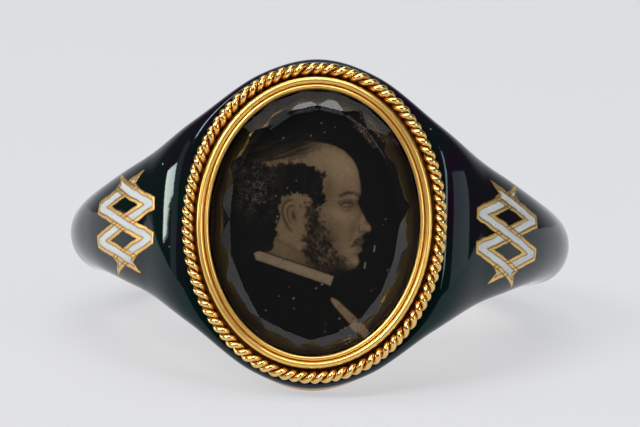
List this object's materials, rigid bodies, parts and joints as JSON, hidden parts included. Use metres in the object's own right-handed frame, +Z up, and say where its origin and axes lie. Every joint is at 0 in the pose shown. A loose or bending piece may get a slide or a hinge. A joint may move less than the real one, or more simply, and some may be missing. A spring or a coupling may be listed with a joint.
{
  "type": "mourning ring",
  "caption": "Gold finger ring with a black enamel hoop front, white enamel plaits on the shoulders, and an oval portrait under a faceted crystal in a rope-edged gold frame.",
  "frame": {"origin": "middle of the ring's box, on the surface that it lies on", "axes": "+Z up, bezel towards -Y and leaning back, finger hole near +Z, leaning towards +Y"},
  "size_m": [0.021, 0.0226, 0.0133],
  "materials": {
    "gold": "polished, softly worn",
    "black_enamel": "glossy fired enamel",
    "white_enamel": "glossy fired enamel",
    "portrait": "dark photographic print",
    "crystal": "polished, cut with bevel facets"
  },
  "bodies": {
    "root": {"hoop": "gold", "black_enamel": "black_enamel", "black_lozenge_left_lower": "black_enamel", "black_lozenge_left_upper": "black_enamel", "black_lozenge_right_lower": "black_enamel", "black_lozenge_right_upper": "black_enamel", "white_enamel_left_1": "white_enamel", "white_enamel_left_2": "white_enamel", "white_enamel_left_3": "white_enamel", "white_enamel_left_4": "white_enamel", "white_enamel_left_5": "white_enamel", "white_enamel_right_1": "white_enamel", "white_enamel_right_2": "white_enamel", "white_enamel_right_3": "white_enamel", "white_enamel_right_4": "white_enamel", "white_enamel_right_5": "white_enamel", "portrait": "portrait", "crystal": "crystal", "bezel_frame": "gold"}
  },
  "joints": []
}
